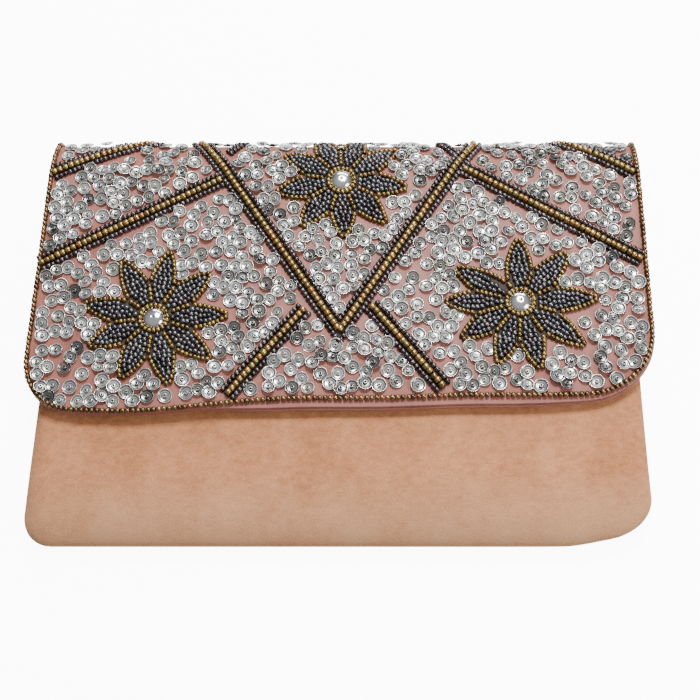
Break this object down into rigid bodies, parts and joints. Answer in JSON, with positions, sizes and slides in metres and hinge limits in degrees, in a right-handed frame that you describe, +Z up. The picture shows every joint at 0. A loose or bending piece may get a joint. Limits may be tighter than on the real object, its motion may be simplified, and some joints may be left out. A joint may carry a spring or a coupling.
{
  "type": "evening bag",
  "caption": "Flat velvet envelope clutch whose fold-over flap is covered in bead rows, petal flowers and sequins, closed by a magnetic snap.",
  "frame": {"origin": "middle of the closed bag's footprint, on the surface its back panel lies on", "axes": "+X across the width to the right as the flap faces up, +Y from the bottom seam to the top fold, +Z up out of the beaded flap"},
  "size_m": [0.249, 0.1739, 0.0222],
  "materials": {
    "velvet": "short cut-pile velvet",
    "satin": "plain satin",
    "lining": "fine twill lining",
    "felt": "thin pressed felt",
    "board": "grey bookbinding board",
    "gold_beads": "opaque metallic gold coated glass",
    "gunmetal_beads": "opaque metallic gunmetal coated glass",
    "sequin": "clear silver cup sequins",
    "stone": "mirrored acrylic dome",
    "snap_metal": "bright nickel plating",
    "magnet": "dark sintered magnet"
  },
  "bodies": {
    "root": {"back_velvet": "velvet", "back_board": "board", "back_lining": "lining", "back_facing": "satin", "slip_pocket": "lining", "pocket_binding": "satin", "back_yoke_satin": "satin", "back_yoke_beads": "gunmetal_beads", "gusset_left": "lining", "gusset_right": "lining"},
    "front": {"front_velvet": "velvet", "front_board": "board", "front_lining": "lining", "front_facing": "velvet", "snap_socket": "snap_metal", "snap_magnet": "magnet", "snap_socket_washer": "snap_metal"},
    "fold_lower": {"fold_lower_satin": "satin", "fold_lower_felt": "felt", "fold_lower_lining": "lining", "fold_lower_beads": "gunmetal_beads"},
    "fold_upper": {"fold_upper_satin": "satin", "fold_upper_felt": "felt", "fold_upper_lining": "lining", "fold_upper_beads": "gunmetal_beads"},
    "flap": {"flap_satin": "satin", "flap_board": "board", "flap_lining": "lining", "snap_stud": "snap_metal", "snap_stud_washer": "snap_metal", "rim_beads": "gold_beads", "chevron_gold": "gold_beads", "chevron_gunmetal": "gunmetal_beads", "long_lines_gold": "gold_beads", "long_lines_gunmetal": "gunmetal_beads", "corner_lines_gold": "gold_beads", "corner_lines_gunmetal": "gunmetal_beads", "stub_lines_gold": "gold_beads", "stub_lines_gunmetal": "gunmetal_beads", "flower_left_outline": "gold_beads", "flower_left_petals": "gunmetal_beads", "flower_left_ring": "gold_beads", "flower_left_stone": "stone", "flower_right_outline": "gold_beads", "flower_right_petals": "gunmetal_beads", "flower_right_ring": "gold_beads", "flower_right_stone": "stone", "flower_top_outline": "gold_beads", "flower_top_petals": "gunmetal_beads", "flower_top_ring": "gold_beads", "flower_top_stone": "stone", "sequins_centre": "sequin", "sequins_lower": "sequin", "sequins_left": "sequin", "sequins_right": "sequin", "sequins_left_band": "sequin", "sequins_right_band": "sequin", "sequins_corners": "sequin"}
  },
  "joints": [
    {"name": "lower_crease", "type": "hinge", "parent": "root", "child": "fold_lower", "pos_m": [0, 0.08371, 0.00596], "axis": [-1, 0, 0], "range_deg": [0, 55]},
    {"name": "crest_crease", "type": "hinge", "parent": "fold_lower", "child": "fold_upper", "pos_m": [0, 0.085, 0.0095], "axis": [-1, 0, 0], "range_deg": [0, 55]},
    {"name": "upper_crease", "type": "hinge", "parent": "fold_upper", "child": "flap", "pos_m": [0, 0.08371, 0.01303], "axis": [-1, 0, 0], "range_deg": [0, 55]},
    {"name": "mouth", "type": "hinge", "parent": "root", "child": "front", "pos_m": [0, -0.087, 0.0064], "axis": [1, 0, 0], "range_deg": [0, 8], "deforming": ["gusset_left", "gusset_right"]}
  ],
  "couplings": [
    {"joint": "lower_crease", "follows": "crest_crease", "ratio": 1},
    {"joint": "upper_crease", "follows": "crest_crease", "ratio": 1},
    {"joint": "mouth", "follows": "crest_crease", "ratio": 0.145}
  ]
}
